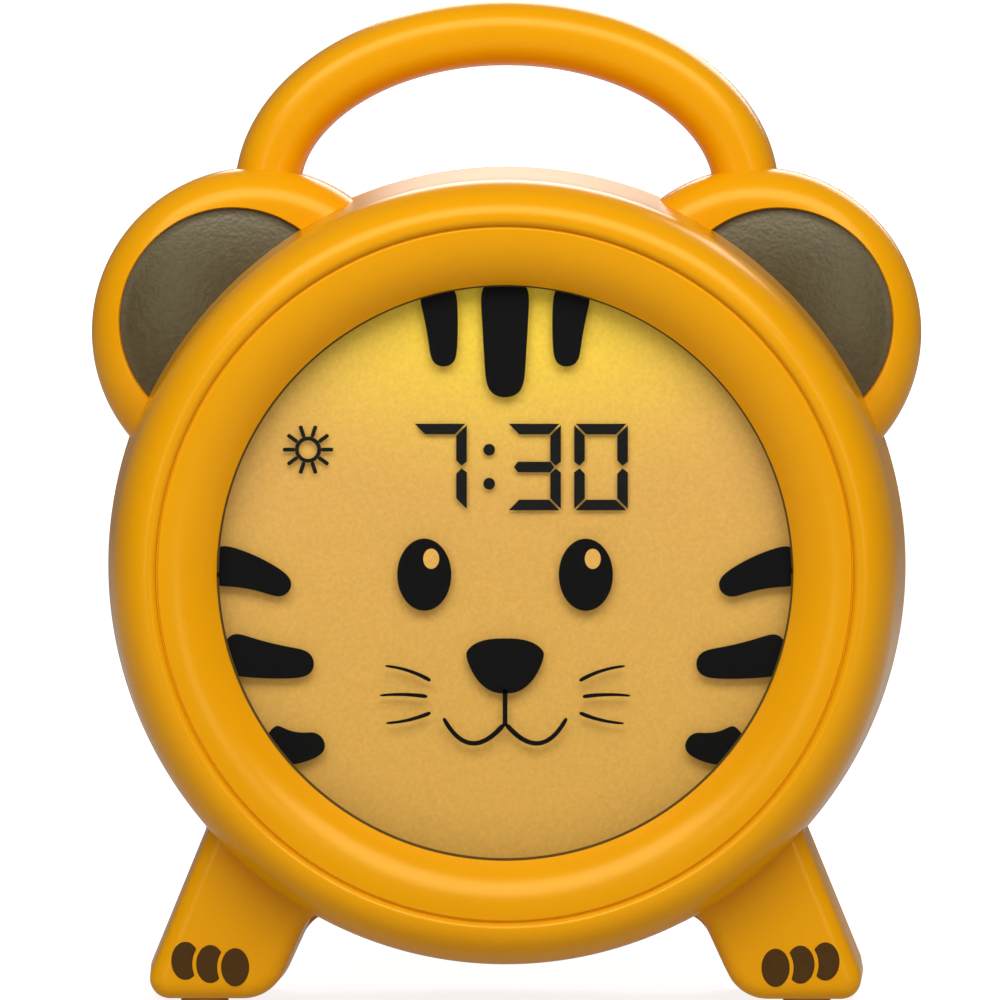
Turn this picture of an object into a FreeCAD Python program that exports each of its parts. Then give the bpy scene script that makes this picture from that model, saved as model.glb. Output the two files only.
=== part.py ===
import FreeCAD, Part
import math
import os
from FreeCAD import Vector as V

os.makedirs("parts", exist_ok=True)

# Kids' alarm clock with a night light: a round drum on two splayed legs, with two ears and a
# carrying handle moulded in one with it. The drum lies on its side, so its axis runs along Y.
# The face looks towards -Y, +Z is up, and the origin lies on the table under the middle.
# The housing splits across the drum into a front and a rear half, and everything else is held
# between them. All sizes are in millimetres.

# Housing
drum_radius = 75.9         # at the parting line, where the drum is widest
ground_gap = 6.3           # the underside of the drum above the table
axis_height = drum_radius + ground_gap
front_depth = 37.0         # parting line to the crest of the front ring
rear_depth = 27.8          # parting line to the flat back
wall = 2.5                 # moulded wall of both halves
front_draft = 1.9          # the side wall narrows by this much towards the front
rear_draft = 2.2           # and by this much towards the back
shoulder = 11.0            # depth of the rounded front shoulder
back_round = 6.0           # rounding between side wall and back
ring_width = 10.1          # front ring, from the opening that the bezel fills to the parting line
lip_radius = drum_radius - ring_width
lip_round = 1.4            # rounded edge of that opening
seat_gap = 0.1             # clearance between pieces that sit flat against each other
slip_gap = 0.3             # clearance round pieces that drop into a pocket or an opening

# Ears
ear_angle = math.radians(43.14)
ear_inset = 10.67          # ear centre inside the drum's outline
ear_x = (drum_radius - ear_inset) * math.cos(ear_angle)
ear_rise = (drum_radius - ear_inset) * math.sin(ear_angle)
ear_radius = 31.1
ear_front = 13.0           # ear face in front of the parting line
ear_back = 13.0            # ear back behind the parting line
ear_round = 7.0
pad_outward = 4.1          # centre of the inlaid ear pad from the centre of the ear
pad_upward = 2.2
pad_x = ear_x + pad_outward
pad_rise = ear_rise + pad_upward
pad_radius = 21.4
pad_sink = 1.4             # depth of the pocket that the pad is laid in
pad_crown = 1.2            # the pad swells by this much over its rim

# Handle
handle_sink = 4.8          # centre of the arch below the top of the drum
handle_inset = 2.1         # the straight ends stand this much inside the ear centres
handle_rise = drum_radius - handle_sink
handle_span = ear_x - handle_inset
handle_arch = 30.2         # height of the arch, to the middle of the grip
grip_width = 12.4          # grip as seen from the front
grip_depth = 16.0          # grip from front to back
grip_round = 5.4
handle_root = 12.0         # straight ends that run down into the ears

# Legs
foot_inset = 5.8           # outer corner of the foot, before it is rounded, inside the drum's side
foot_width = 26.3          # from there to the inner corner before it is rounded
foot_outer = drum_radius - foot_inset
foot_inner = foot_outer - foot_width
splay_outer = 22.2         # slope of the outer edge, in degrees from upright
splay_inner = 24.7         # slope of the inner edge
outer_corner = 4.5
inner_corner = 9.0
leg_fillet = 7.0           # the leg runs into the drum with this radius
leg_front = 24.0           # leg face in front of the parting line
leg_back = 20.0            # leg back behind the parting line
leg_round = 2.4

# Rubber pads under the feet, and the toes inlaid in the front of each foot
sole_radius = 4.5
sole_thick = 1.6
sole_proud = 0.6
sole_spacing = 28.0
sole_inset = 13.1          # middle of the rubber pads from the outer corner of the foot
sole_x = foot_outer - sole_inset
toe_width = 5.3
toe_height = 7.2
toe_gap = 0.7
toe_thick = 1.0
toe_proud = 0.2
toe_inset = 18.5           # middle of the largest toe from the outer corner of the foot
toe_x = foot_outer - toe_inset
toe_z = 6.6
toe_pitch = 4.7
toe_rise = 0.6

# Face: bezel, lens, liquid crystal panel, film and light guide, all centred on the drum axis
groove = 1.2               # groove between the housing's lip and the bezel
funnel_width = 10.4        # sloping face of the bezel
bezel_radius = lip_radius - groove
window_radius = bezel_radius - funnel_width
crest_sink = 1.0           # outer edge of the bezel's front behind the front crest
window_depth = 7.4         # the lens lies this far behind the front crest
funnel_swell = 1.5         # how far the sloping face of the bezel bulges
flange_reach = 1.3         # the bezel's flange reaches this far behind the lip
flange_thick = 2.0
face_lap = 1.6             # lens, panel, film and guide reach this far behind the bezel
face_radius = window_radius + face_lap
lens_thick = 2.0
lcd_thick = 1.8
film_thick = 0.4
guide_thick = 3.0
carrier_wall = 2.0         # tube behind the bezel that centres the face pieces
dish_depth = 12.0          # reflector behind the light guide
dish_wall = 1.5
dish_slope = 21.8          # the reflector narrows by this much to its flat bottom
dish_base = face_radius - dish_slope
board_thick = 1.6
led_count = 8
led_inset = 10.0           # ring of lamps inside the edge of the flat bottom
led_circle = dish_base - led_inset
led_size = 3.5
led_height = 1.4

# Screw columns that join the two halves, set close round the tube of the bezel
column_radius = 4.0
column_gap = 0.4
column_circle = face_radius + slip_gap + carrier_wall + column_gap + column_radius
column_angles = (62.0, 118.0, 212.0, 328.0)
column_rib = 2.0
housing_screw = 1.5
housing_head = 2.9
hole_depth = 12.0          # screw hole in the front column
head_sink = 4.0            # screw head below the rounded edge of the back

# Main board
main_side = 19.9           # its side edges inside the drum's outline
main_cut = 21.9            # its height falls short of the drum's radius by this much
main_width = 2 * (drum_radius - main_side)
main_height = drum_radius - main_cut
main_rise = 2.0
main_front = 2.2           # board's front face behind the parting line
main_inset = 4.6           # posts from the edges of the board
post_radius = 3.0
chip_sizes = ((12.0, 12.0, 1.4), (8.0, 6.0, 1.2), (10.0, 5.0, 1.6), (12.0, 4.0, 1.7))
chip_places = ((-8.0, 4.0), (20.0, 8.0), (-34.0, -6.0), (38.0, -10.0))
capacitor_x = 14.0
capacitor_drop = 12.0
capacitor_radius = 1.8
capacitor_height = 1.9

# Push buttons in two rows of three beside the speaker, above one another
button_share = 0.1845      # pitch of the buttons as a share of the drum's radius
button_pitch = button_share * drum_radius
button_proud = 1.2
button_travel = 0.8
button_flange = 1.7
flange_thin = 1.2
flange_gap = 0.8           # half the gap between the flanges of two buttons
button_radius = button_pitch / 2 - button_flange - flange_gap
button_round = 0.7
button_stem = 2.2
key_size = 6.0             # push switch under each button
key_height = 3.5
key_depth = 7.3            # key board behind the back wall's inner face
key_margin = 5.0
key_post = 2.0             # radius of the posts that carry the small boards
key_gap = 4.18             # key board below the upper screw column
board_gap = 2.4            # key board beside the posts of the main board
button_x = (main_width / 2 - main_inset - post_radius - board_gap - key_margin - key_size / 2)
button_top = (column_circle * math.sin(math.radians(column_angles[0])) - column_radius - key_gap
              - key_margin)
button_rise = (button_top, button_top - button_pitch, button_top - 2 * button_pitch)
running_gap = 0.08         # radial clearance of a button in its hole

# Batteries: three size AA cells side by side behind a screwed door
cell_radius = 7.25
cell_length = 49.0
cell_count = 3
cell_play = 0.7
contact_space = 3.6        # room for the contact at each end of a cell
tray_drop = 20.6           # inside of the tray's bottom wall, from the underside of the drum
tray_wall = 1.6
tray_depth = 15.6
door_lap = 1.0             # the door laps the tray's rim by this much
tongue_x = 18.0
tongue_width = 8.0
tongue_drop = 2.2
tongue_thick = 1.4
latch_half = 5.0           # half the width of the tab that takes the screw
latch_reach = 7.6
latch_wall = 1.5           # wall round the block that takes the door's screw
latch_depth = 8.0
screw_radius = 1.5
screw_reach = 3.0          # the door screw enters its block by this much
screw_head = 2.8
head_height = 1.3
screw_play = 0.4
nub_radius = 2.7
nub_height = 1.2
contact_sheet = 0.5
contact_half = 5.0
contact_rise = 5.5
spring_wide = 4.5
spring_narrow = 2.2
cell_pitch = 2 * cell_radius + cell_play
tray_half = cell_length / 2 + contact_space
tray_bottom = tray_drop - drum_radius
tray_top = tray_bottom + cell_count * cell_pitch + cell_play

# Alarm switch above the battery door
slide_gap = 3.5            # its board above the block for the door's screw
slide_travel = 4.0
slide_width = 6.0
slide_height = 3.4
slide_cover = 1.2          # thickness of the plate that hides the slot
cover_lap = 1.0
slide_round = 0.6
slot_round = 0.8
ridge_pitch = 1.6
ridge_width = 0.7
ridge_depth = 0.5
slide_rise = tray_top + door_lap + latch_reach + latch_wall + slide_gap + slide_height

# Speaker above the alarm switch
speaker_inset = 55.9       # the speaker's radius falls short of the drum's by this much
speaker_radius = drum_radius - speaker_inset
speaker_gap = 3.0          # ring round the speaker above the board of the alarm switch
ring_wall = 1.5            # wall of the ring that centres the speaker
ring_height = 4.0
speaker_rise = slide_rise + slide_height + speaker_gap + ring_wall + seat_gap + speaker_radius
speaker_depth = 13.0
magnet_share = 0.55        # of the speaker's radius
magnet_radius = magnet_share * speaker_radius
magnet_depth = 5.0
basket_sheet = 1.0
basket_rim = 2.0
basket_lip = 2.2
basket_step = 1.4
basket_well = 6.4
cap_share = 0.45           # dust cap, of the magnet's radius
cap_radius = cap_share * magnet_radius
cap_crown = 1.0
cone_sink = 1.0
cone_well = 4.4
cone_back = 6.3
surround_width = 4.0
surround_swell = 0.6
surround_thick = 0.4
grille_share = 0.8         # of the speaker's radius
grille_radius = grille_share * speaker_radius
grille_slot = 2.2
grille_pitch = 4.6

# Power inlet beside the battery tray
inlet_gap = 1.3
inlet_drop = 1.0
inlet_width = 9.0
inlet_height = 3.2
inlet_depth = 7.5
inlet_wall = 0.3
socket_floor = 0.8
socket_sink = 0.6
tongue_sink = 1.4
tongue_half = 3.2
tongue_thin = 0.7
inlet_x = tray_half + tray_wall + inlet_gap + inlet_width

# Places along Y that follow from the sizes above
total_depth = front_depth + rear_depth + button_proud
y_front = -total_depth / 2
y_part = y_front + front_depth
y_back = y_part + rear_depth
y_inner = y_back - wall
y_lens = y_front + window_depth
y_lcd = y_lens + lens_thick
y_film = y_lcd + lcd_thick
y_guide = y_film + film_thick
y_dish = y_guide + guide_thick
y_base = y_dish + dish_depth
z0 = axis_height


def path(plane, start, *moves):
    """Closed face: a move (u, v) is a line, a move (u, v, u, v) an arc through its first point."""
    edges = []
    here = plane(*start)
    for move in moves + (start,):
        there = plane(*move[-2:])
        if here.distanceToPoint(there) < 1e-6:
            continue
        if len(move) == 4:
            edges.append(Part.Arc(here, plane(*move[:2]), there).toShape())
        else:
            edges.append(Part.LineSegment(here, there).toShape())
        here = there
    return Part.Face(Part.Wire(edges))


def rounded(plane, *corners):
    """Closed face through corners (u, v, radius), each rounded by an arc tangent to its sides."""
    moves = []
    count = len(corners)
    for i, (u, v, radius) in enumerate(corners):
        here = V(u, v, 0)
        to_last = (V(*corners[i - 1][:2], 0) - here).normalize()
        to_next = (V(*corners[(i + 1) % count][:2], 0) - here).normalize()
        if radius == 0:
            moves.append((u, v))
            continue
        half = to_last.getAngle(to_next) / 2
        run = radius / math.tan(half)
        middle = here + (to_last + to_next).normalize() * (radius / math.sin(half) - radius)
        first = here + to_last * run
        last = here + to_next * run
        moves.append((first.x, first.y))
        moves.append((middle.x, middle.y, last.x, last.y))
    return path(plane, *moves)


def upright(y):
    return lambda x, z: V(x, y, z)


def section(r, y):
    return V(r, y, 0)


def turned(face, x=0.0, z=z0):
    """A section in radius and depth, turned about a line along Y through (x, z)."""
    solid = face.revolve(V(0, 0, 0), V(0, 1, 0), 360)
    return solid.translated(V(x, 0, z))


def rod(x, z, radius, y_low, y_high):
    return Part.makeCylinder(radius, y_high - y_low, V(x, y_low, z), V(0, 1, 0))


def block(x_low, x_high, y_low, y_high, z_low, z_high):
    return Part.makeBox(x_high - x_low, y_high - y_low, z_high - z_low, V(x_low, y_low, z_low))


def slab(y_low, y_high, *corners):
    return rounded(upright(y_low), *corners).extrude(V(0, y_high - y_low, 0))


def bar(x, z, half_width, half_height, radius, y_low, y_high):
    """A plate with rounded corners, centred on (x, z)."""
    return slab(y_low, y_high,
                (x - half_width, z - half_height, radius), (x + half_width, z - half_height, radius),
                (x + half_width, z + half_height, radius), (x - half_width, z + half_height, radius))


def mirrored(shape):
    return shape.mirror(V(0, 0, 0), V(1, 0, 0))


def crown(radius, y_rim, rise):
    """Move along a sphere from (radius, y_rim) to its top on the axis, rise away from the rim."""
    sphere = (radius ** 2 + rise ** 2) / (2 * rise)
    half = math.asin(radius / sphere) / 2
    return sphere * math.sin(half), y_rim + rise - sphere * (1 - math.cos(half)), 0, y_rim + rise


def both(shape):
    return [shape, mirrored(shape)]


def save(name, *solids):
    shape = solids[0] if len(solids) == 1 else Part.makeCompound(list(solids))
    shape.exportStep("parts/" + name + ".step")


# Drum, ears, handle and legs. Each form takes an inset: none for the outside of the
# housing, the wall for the hollow inside it.

def drum(inset):
    crest = lip_radius + lip_round
    front = y_front + inset
    rim = drum_radius - front_draft - inset
    rear = drum_radius - rear_draft - inset
    rounding = back_round - inset
    bend = math.sqrt(0.5)
    y_rim = y_front + shoulder
    y_rear = y_back - back_round
    lip = [(crest, front)]
    if inset == 0:
        lip = [(lip_radius, y_front + lip_round),
               (lip_radius + lip_round * (1 - bend), y_front + lip_round * (1 - bend), crest, front)]
    return turned(path(
        section, (0, y_front + max(inset, lip_round)), *lip,
        (crest + (rim - crest) * bend, y_rim - (y_rim - front) * bend, rim, y_rim),
        (drum_radius - inset, y_part),
        (rear, y_rear),
        (rear - rounding * (1 - bend), y_rear + rounding * bend, rear - rounding, y_back - inset),
        (0, y_back - inset)))


def ear(inset):
    front = y_part - ear_front + inset
    back = y_part + ear_back - inset
    radius = ear_radius - inset
    flat = ear_radius - ear_round
    return turned(rounded(section, (0, front, 0), (radius, front, radius - flat),
                          (radius, back, radius - flat), (0, back, 0)),
                  ear_x, z0 + ear_rise)


def handle(inset):
    """Half an elliptical ring with straight ends, its long edges rounded to a soft grip."""
    half = grip_width / 2 - inset
    low = y_part - grip_depth / 2 + inset
    depth = grip_depth - 2 * inset
    z_mid = z0 + handle_rise
    centre = V(0, low, z_mid)

    def arch(a, b):
        ellipse = Part.Ellipse(V(a, low, z_mid), V(0, low, z_mid + b), centre)
        return Part.Arc(ellipse, 0, math.pi).toShape()

    outer = handle_span + half
    inner = handle_span - half
    foot = z_mid - handle_root
    edges = [arch(outer, handle_arch + half), arch(inner, handle_arch - half)]
    for side in (-1, 1):
        corners = [V(side * outer, low, z_mid), V(side * outer, low, foot),
                   V(side * inner, low, foot), V(side * inner, low, z_mid)]
        edges += [Part.LineSegment(p, q).toShape() for p, q in zip(corners, corners[1:])]
    ring = Part.Face(Part.Wire(Part.__sortEdges__(edges))).extrude(V(0, depth, 0))
    long_edges = [edge for edge in ring.Edges
                  if edge.BoundBox.YLength < 1e-4 and edge.BoundBox.ZMax > z_mid - 1e-4]
    return ring.makeFillet(grip_round - inset, long_edges)


def leg(inset):
    """Foot and shank as seen from the front, flared where they run into the drum."""
    sole = sole_proud
    girth = drum_radius - max(front_draft, rear_draft)

    def reach(x_foot, splay):
        # where the edge of the leg, drawn up from the foot, meets the drum's outline
        lean = math.tan(math.radians(splay))
        rise = z0 - sole
        a = 1 + lean * lean
        b = -2 * (rise + x_foot * lean)
        c = x_foot ** 2 + rise ** 2 - girth ** 2
        up = (-b - math.sqrt(b * b - 4 * a * c)) / (2 * a)
        return x_foot - lean * up, sole + up

    def inside(point, turn, depth):
        # a point further round the drum's outline, and a little inside it
        angle = math.atan2(point[1] - z0, point[0]) + math.radians(turn)
        radius = girth - depth
        return radius * math.cos(angle), z0 + radius * math.sin(angle)

    out_point = reach(foot_outer, splay_outer)
    in_point = reach(foot_inner, splay_inner)
    face = rounded(upright(y_part - leg_front + inset),
                   (foot_inner, sole, inner_corner), (foot_outer, sole, outer_corner),
                   (*out_point, leg_fillet), (*inside(out_point, 12, 1), 0),
                   (*inside(out_point, 12, 9), 0), (*inside(in_point, -12, 9), 0),
                   (*inside(in_point, -12, 1), 0), (*in_point, leg_fillet))
    run = V(0, leg_front + leg_back - 2 * inset, 0)
    if inset:
        return face.makeOffset2D(-inset).extrude(run)
    solid = face.extrude(run)
    rims = [edge for edge in solid.Edges
            if edge.BoundBox.YLength < 1e-4 and edge.BoundBox.ZMin < in_point[1]]
    return solid.makeFillet(leg_round, rims)


def form(inset):
    pieces = both(ear(inset)) + both(leg(inset)) + [handle(inset)]
    return drum(inset).fuse(pieces)


housing = form(0).cut(form(wall))
housing = housing.cut(rod(0, z0, lip_radius, y_front - 1, y_front + wall + 1))

# Pockets for the ear pads and toes in the front, and for the rubber pads under the feet
pad_floor = y_part - ear_front + pad_sink
pockets = both(rod(pad_x, z0 + pad_rise, pad_radius + slip_gap, pad_floor - 20, pad_floor))


def toe(number, grow=0.0):
    """One of three overlapping ovals, each cut back by the oval beside it that lies over it."""
    def oval(index, extra):
        x = toe_x + index * toe_pitch
        z = toe_z + index * toe_rise
        ellipse = Part.Ellipse(V(x, 0, z + toe_height / 2 + extra), V(x + toe_width / 2 + extra, 0, z),
                               V(x, 0, z))
        face = Part.Face(Part.Wire([ellipse.toShape()]))
        y_toe = y_part - leg_front
        return face.translated(V(0, y_toe - toe_proud, 0)).extrude(V(0, toe_thick + toe_proud, 0))
    piece = oval(number, grow)
    if number:
        piece = piece.cut(oval(number - 1, toe_gap))
    return piece


toes = [toe(number) for number in range(3)]
toe_cuts = [toe(number, seat_gap) for number in range(3)]
sole_places = [(side * sole_x, y_part + (leg_back - leg_front) / 2 + end * sole_spacing / 2)
               for side in (-1, 1) for end in (-1, 1)]
soles = [Part.makeCylinder(sole_radius, sole_thick, V(x, y, 0)) for x, y in sole_places]
sole_cuts = [Part.makeCylinder(sole_radius + seat_gap, sole_thick + seat_gap, V(x, y, 0))
             for x, y in sole_places]
drum_skin = drum(0)
housing = housing.cut([pocket.cut(drum_skin) for pocket in pockets])
for cutter in toe_cuts:
    housing = housing.cut(both(cutter))
housing = housing.cut(sole_cuts)

big = 2 * (axis_height + drum_radius + handle_arch)
front_half = block(-big, big, -big, y_part, -big, big)
rear_half = block(-big, big, y_part, big, -big, big)

# Screw columns: a rib ties each to the side wall, and a screw from the back joins the halves
columns = [(column_circle * math.cos(math.radians(a)), z0 + column_circle * math.sin(math.radians(a)), a)
           for a in column_angles]
drum_hollow = drum(wall)
drum_solid = drum(wall / 2)
y_column = y_lcd


def column(x, z, angle, y_low, y_high):
    rib = block(column_circle, drum_radius, y_low, y_high, -column_rib / 2, column_rib / 2)
    rib = rib.rotated(V(0, 0, 0), V(0, -1, 0), angle).translated(V(0, 0, z0))
    return rod(x, z, column_radius, y_low, y_high).fuse(rib).common(drum_solid)


front_columns = [column(x, z, a, y_column, y_part) for x, z, a in columns]
rear_columns = [column(x, z, a, y_part, y_inner + wall / 4) for x, z, a in columns]
front_shell = housing.common(front_half).fuse(front_columns)
front_shell = front_shell.cut([rod(x, z, housing_screw, y_part - hole_depth, y_part + 1)
                               for x, z, a in columns])

# Rear half: speaker grille, posts, button holes, battery opening, inlet and screw holes
door_half = tray_half + door_lap
door_top = z0 + tray_top + door_lap
door_bottom = z0 + tray_bottom - door_lap
latch_top = door_top + latch_reach
screw_z = door_top + latch_reach - latch_half
y_key = y_inner - key_depth
y_main = y_part + main_front


def door_outline(grow, y_low, y_high):
    """The battery door as seen from behind: a plate with a tab at the top for its screw."""
    half = door_half + grow
    tab = latch_half + grow
    return slab(y_low, y_high,
                (-half, door_bottom - grow, 2), (half, door_bottom - grow, 2),
                (half, door_top + grow, 2), (tab, door_top + grow, 1), (tab, latch_top + grow, 3),
                (-tab, latch_top + grow, 3), (-tab, door_top + grow, 1), (-half, door_top + grow, 2))


speaker_z = z0 + speaker_rise
ring_bore = speaker_radius + seat_gap
speaker_ring = rod(0, speaker_z, ring_bore + ring_wall, y_inner - ring_height, y_inner + wall / 4)
speaker_ring = speaker_ring.cut(rod(0, speaker_z, ring_bore, y_inner - 2 * ring_height, y_inner))
slots = []
rows = int((grille_radius - grille_slot) / grille_pitch)
for row in range(-rows, rows + 1):
    dz = row * grille_pitch
    half = math.sqrt(grille_radius ** 2 - dz ** 2)
    slots.append(bar(0, speaker_z + dz, half, grille_slot / 2, grille_slot / 2.01, y_inner - 1, y_back + 1))

button_places = [(side * button_x, z0 + rise) for side in (-1, 1) for rise in button_rise]
key_posts = []
for a, b in zip(button_rise, button_rise[1:]):
    # between two buttons, and far enough to one side to clear the flanges of both
    clear = button_radius + button_flange + key_post + slip_gap
    shift = math.sqrt(max(clear ** 2 - ((a - b) / 2) ** 2, 0))
    key_posts += [(side * (button_x - shift), z0 + (a + b) / 2) for side in (-1, 1)]
main_posts = [(sx * (main_width / 2 - main_inset), z0 + main_rise + sz * (main_height / 2 - main_inset))
              for sx in (-1, 1) for sz in (-1, 1)]
switch_post_x = slide_width + slide_travel + key_post + slip_gap
y_switch = y_key
posts = [rod(x, z, key_post, y_key + board_thick, y_inner + wall / 4) for x, z in key_posts]
posts += [rod(x, z, post_radius, y_main + board_thick, y_inner + wall / 4) for x, z in main_posts]
posts += [rod(side * switch_post_x, z0 + slide_rise, key_post, y_switch + board_thick,
              y_inner + wall / 4) for side in (-1, 1)]
inlet_z = z0 - inlet_drop
shelf_low = inlet_z - inlet_height / 2 - board_thick - seat_gap
inlet_shelf = block(inlet_x - inlet_width, inlet_x + inlet_width, y_inner - 2 * inlet_depth,
                    y_inner + wall / 4, shelf_low - wall / 2, shelf_low - seat_gap / 2)

rear_shell = housing.common(rear_half).fuse(rear_columns + posts + [speaker_ring, inlet_shelf])
rear_cuts = list(slots)
rear_cuts += [rod(x, z, button_radius + running_gap, y_inner - 1, y_back + 1) for x, z in button_places]
rear_cuts.append(door_outline(slip_gap, y_inner - 0.5, y_back + 1))
rear_cuts.append(bar(0, z0 + slide_rise, (slide_width + slide_travel) / 2 + slip_gap,
                     slide_height / 2 + slip_gap, slot_round, y_inner - 1, y_back + 1))
rear_cuts.append(bar(inlet_x, inlet_z, inlet_width / 2 + slip_gap, inlet_height / 2 + slip_gap,
                     inlet_height / 2, y_inner - 1, y_back + 1))
y_head = y_back - back_round - head_sink
for x, z, a in columns:
    rear_cuts.append(rod(x, z, housing_screw + slip_gap, y_part - 1, y_back))
    rear_cuts.append(rod(x, z, housing_head + slip_gap, y_head, y_back + 1))
rear_shell = rear_shell.cut(rear_cuts)
save("front_shell", front_shell)
save("rear_shell", rear_shell)

length = hole_depth - 1 + y_head - y_part
screws = []
for x, z, a in columns:
    screw = rod(x, z, housing_screw - seat_gap / 2, y_head - length, y_head)
    screws.append(screw.fuse(rod(x, z, housing_head, y_head, y_head + head_height)))
save("shell_screws", *screws)

# Soft pads: domed ear pads cut back where the drum covers them, toes and rubber feet

def ear_pad(side):
    y_rim = pad_floor - pad_sink
    dome = path(section, (0, pad_floor - seat_gap), (pad_radius, pad_floor - seat_gap), (pad_radius, y_rim),
                crown(pad_radius, y_rim, -pad_crown))
    solid = turned(dome, pad_x, z0 + pad_rise).cut(drum_skin)
    return solid if side > 0 else mirrored(solid)


save("ear_pad_right", ear_pad(1))
save("ear_pad_left", ear_pad(-1))
save("toe_inlays", *[side for piece in toes for side in both(piece)])
save("foot_pads", *soles)

# Face bezel: a sloping ring, a flange that bears behind the lip, and a tube for the face pieces
y_flange = y_front + wall + seat_gap
y_crest = y_front + crest_sink
tube_inner = face_radius + slip_gap
tube_outer = tube_inner + carrier_wall
flange_radius = lip_radius + flange_reach
span = bezel_radius - window_radius
drop = y_lens - y_crest
lean = math.hypot(span, drop)
mid = ((bezel_radius + window_radius) / 2 + funnel_swell * drop / lean,
       (y_crest + y_lens) / 2 - funnel_swell * span / lean)
bezel = turned(path(
    section, (window_radius, y_lens), (*mid, bezel_radius, y_crest),
    (bezel_radius, y_flange), (flange_radius, y_flange), (flange_radius, y_flange + flange_thick),
    (bezel_radius - wall, y_flange + flange_thick), (tube_outer, y_lens + lens_thick / 2),
    (tube_outer, y_dish), (tube_inner, y_dish), (tube_inner, y_lens)))
save("face_bezel", bezel)


def disc(radius, y_low, thick):
    return rod(0, z0, radius, y_low, y_low + thick)


save("face_lens", disc(face_radius, y_lens, lens_thick))
save("lcd_panel", disc(face_radius, y_lcd, lcd_thick))
save("tint_film", disc(face_radius, y_film, film_thick))
save("light_guide", disc(face_radius, y_guide, guide_thick))

# Reflector: a white dish that closes the tube from behind and carries the lamp board
led_places = [(led_circle * math.cos(2 * math.pi * i / led_count),
               z0 + led_circle * math.sin(2 * math.pi * i / led_count)) for i in range(led_count)]
reflector = turned(path(
    section, (0, y_base), (dish_base, y_base), (face_radius - dish_wall, y_dish),
    (tube_outer, y_dish), (tube_outer, y_dish + dish_wall),
    (face_radius, y_dish + dish_wall), (dish_base + dish_wall, y_base + dish_wall), (0, y_base + dish_wall)))
reflector = reflector.cut([rod(x, z, led_size * 0.85, y_base - 1, y_base + 2 * dish_wall)
                           for x, z in led_places])
save("light_reflector", reflector)
lamp_board = disc(dish_base, y_base + dish_wall, board_thick)
save("lamp_board", lamp_board)
save("lamp_leds", *[block(x - led_size / 2, x + led_size / 2, y_base + dish_wall - led_height,
                          y_base + dish_wall, z - led_size / 2, z + led_size / 2) for x, z in led_places])

# Main board on four posts, with its processor, memory, capacitor and cable sockets
main_z = z0 + main_rise
save("main_board", block(-main_width / 2, main_width / 2, y_main, y_main + board_thick,
                         main_z - main_height / 2, main_z + main_height / 2))
parts_on_board = []
for (x, z), (w, h, t) in zip(chip_places, chip_sizes):
    parts_on_board.append(block(x - w / 2, x + w / 2, y_main - t, y_main,
                                main_z + z - h / 2, main_z + z + h / 2))
parts_on_board.append(rod(capacitor_x, main_z - capacitor_drop, capacitor_radius,
                          y_main - capacitor_height, y_main))
save("board_parts", *parts_on_board)

# Push buttons: cap in the back wall, flange behind it, stem down to the switch on its board
y_key_top = y_key + board_thick + key_height
chamfer = button_round * (1 - math.sqrt(0.5))
buttons = []
for x, z in button_places:
    y_stem = y_key_top + button_travel + 2 * seat_gap
    y_low = y_inner - seat_gap - flange_thin
    y_top = y_back + button_proud
    shape = path(section, (0, y_stem), (button_stem, y_stem), (button_stem, y_low),
                 (button_radius + button_flange, y_low), (button_radius + button_flange, y_inner - seat_gap),
                 (button_radius, y_inner - seat_gap), (button_radius, y_top - button_round),
                 (button_radius - chamfer, y_top - chamfer, button_radius - button_round, y_top), (0, y_top))
    buttons.append(turned(shape, x, z))
button_names = [side + "_" + place for side in ("left", "right") for place in ("top", "middle", "bottom")]
for name, solid in zip(button_names, buttons):
    save("button_" + name, solid)
key_boards = []
for side in (-1, 1):
    half = key_size / 2 + key_margin
    key_boards.append(block(side * button_x - half, side * button_x + half, y_key, y_key + board_thick,
                            z0 + min(button_rise) - key_margin, z0 + max(button_rise) + key_margin))
save("key_board_left", key_boards[0])
save("key_board_right", key_boards[1])
save("key_switches", *[block(x - key_size / 2, x + key_size / 2, y_key + board_thick, y_key_top,
                             z - key_size / 2, z + key_size / 2) for x, z in button_places])

# Alarm switch: a ridged knob slides along its slot, and its cover plate hides the gap
slide_z = z0 + slide_rise
slide_x = -slide_travel / 2
y_plate = y_inner - seat_gap - slide_cover
plate_half = (slide_width + 2 * slide_travel) / 2 + 2 * slip_gap
knob = bar(slide_x, slide_z, slide_width / 2, slide_height / 2, slide_round, y_plate,
           y_back + button_proud)
knob = knob.fuse(block(slide_x - plate_half, slide_x + plate_half, y_plate, y_plate + slide_cover,
                       slide_z - slide_height / 2 - cover_lap, slide_z + slide_height / 2 + cover_lap))
for i in (-1, 0, 1):
    ridge_x = slide_x + i * ridge_pitch
    knob = knob.cut(block(ridge_x - ridge_width / 2, ridge_x + ridge_width / 2,
                          y_back + button_proud - ridge_depth, y_back + 2 * button_proud,
                          slide_z - slide_height, slide_z + slide_height))
save("alarm_slide", knob)
switch_half = switch_post_x + key_post
save("switch_board", block(-switch_half, switch_half, y_switch, y_switch + board_thick,
                           slide_z - slide_height, slide_z + slide_height))
save("slide_switch", block(-slide_width, slide_width, y_switch + board_thick, y_plate - slip_gap,
                           slide_z - slide_height * 0.8, slide_z + slide_height * 0.8))

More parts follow.
